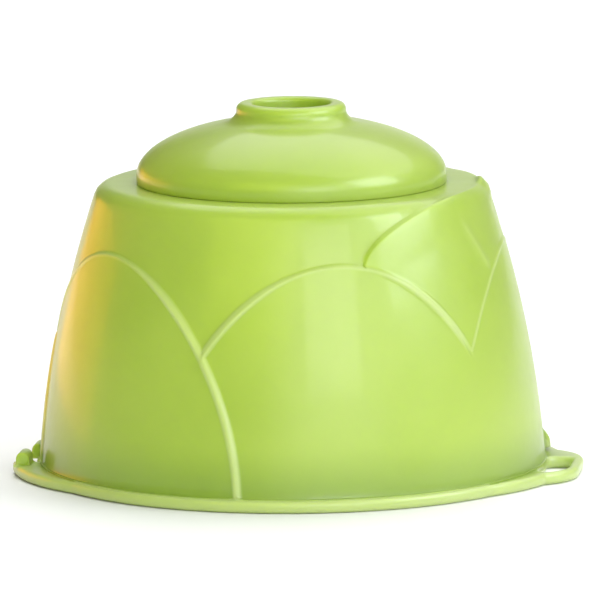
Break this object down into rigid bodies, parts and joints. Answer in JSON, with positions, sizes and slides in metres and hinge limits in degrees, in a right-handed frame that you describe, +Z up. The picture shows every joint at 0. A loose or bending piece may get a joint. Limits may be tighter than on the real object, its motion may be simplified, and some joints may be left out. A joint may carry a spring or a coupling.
{
  "type": "wasp trap",
  "caption": "Dome-shaped moulded wasp trap with a petal-embossed cover, lift-off crown with entry neck, one-way funnel, twist-lock bait tray and lidded bait cup.",
  "frame": {"origin": "on the cover's axis, in the plane of the foot flange's underside", "axes": "+Z up along the cover's axis through the entry neck, +X through the middle of the cord loop"},
  "size_m": [0.127, 0.1148, 0.0825],
  "materials": {
    "cover_plastic": "glossy translucent moulded plastic, lime green",
    "crown_plastic": "glossy translucent moulded plastic, lime green",
    "funnel_plastic": "glossy moulded plastic, lime green",
    "tray_plastic": "glossy moulded plastic, lime green",
    "cup_plastic": "glossy moulded plastic, warm yellow",
    "cup_lid_plastic": "glossy moulded plastic, warm yellow"
  },
  "bodies": {
    "cover": {"petal_cover": "cover_plastic"},
    "crown": {"crown_lid": "crown_plastic", "entry_funnel": "funnel_plastic"},
    "tray": {"bait_tray": "tray_plastic", "bait_cup": "cup_plastic"},
    "cup_lid": {"bait_cup_lid": "cup_lid_plastic"}
  },
  "joints": [
    {"name": "crown_lift", "type": "slide", "parent": "cover", "child": "crown", "axis": [0, 0, 1], "range_m": [0, 0.045]},
    {"name": "tray_turn", "type": "hinge", "parent": "cover", "child": "tray", "pos_m": [0, 0, 0], "axis": [0, 0, 1], "range_deg": [-60, 0]},
    {"name": "cup_lid_turn", "type": "hinge", "parent": "tray", "child": "cup_lid", "pos_m": [0, 0, 0.02], "axis": [0, 0, 1], "range_deg": [-60, 0]}
  ]
}
